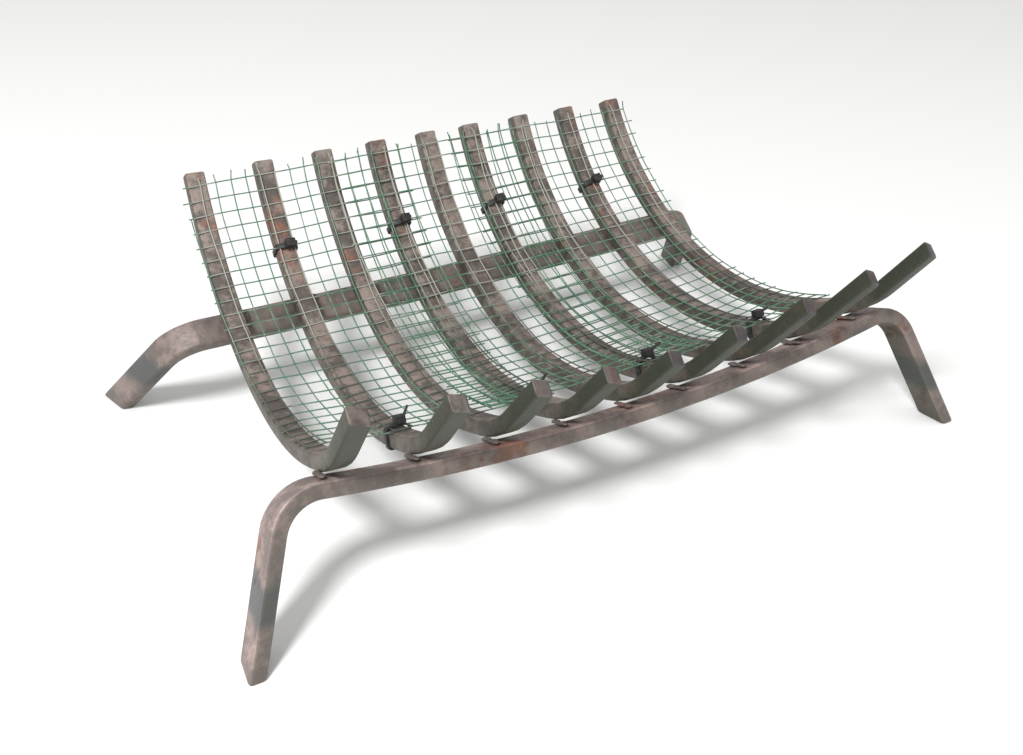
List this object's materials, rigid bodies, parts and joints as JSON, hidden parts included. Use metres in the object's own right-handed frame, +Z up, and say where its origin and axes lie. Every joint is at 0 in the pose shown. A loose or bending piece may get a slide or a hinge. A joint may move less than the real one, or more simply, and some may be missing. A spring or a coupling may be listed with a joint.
{
  "type": "fireplace grate",
  "caption": "Wide low fireplace grate: curved bars welded across two bent-leg rails, with a lining of coated wire mesh tied to the bars.",
  "frame": {"origin": "on the floor, under the middle of the object", "axes": "+X along the rails, +Y towards the back, +Z up"},
  "size_m": [0.6306, 0.4063, 0.1889],
  "materials": {
    "rail_steel": "worn mild steel, heat-darkened, with patches of rust",
    "bar_steel": "worn mild steel, brown-grey, with patches of red and orange rust",
    "mesh_coating": "dull green plastic coating on welded wire",
    "tie_nylon": "black nylon",
    "weld_metal": "rough grey weld bead"
  },
  "bodies": {
    "root": {"front_rail": "rail_steel", "back_rail": "rail_steel", "grate_bar_1": "bar_steel", "grate_bar_2": "bar_steel", "grate_bar_3": "bar_steel", "grate_bar_4": "bar_steel", "grate_bar_5": "bar_steel", "grate_bar_6": "bar_steel", "grate_bar_7": "bar_steel", "grate_bar_8": "bar_steel", "grate_bar_9": "bar_steel", "mesh_left": "mesh_coating", "mesh_middle": "mesh_coating", "mesh_right": "mesh_coating", "rear_tie_2": "tie_nylon", "rear_tie_4": "tie_nylon", "rear_tie_6": "tie_nylon", "rear_tie_8": "tie_nylon", "front_tie_2": "tie_nylon", "front_tie_4": "tie_nylon", "front_tie_6": "tie_nylon", "front_tie_8": "tie_nylon", "welds_front": "weld_metal", "welds_back": "weld_metal"}
  },
  "joints": []
}
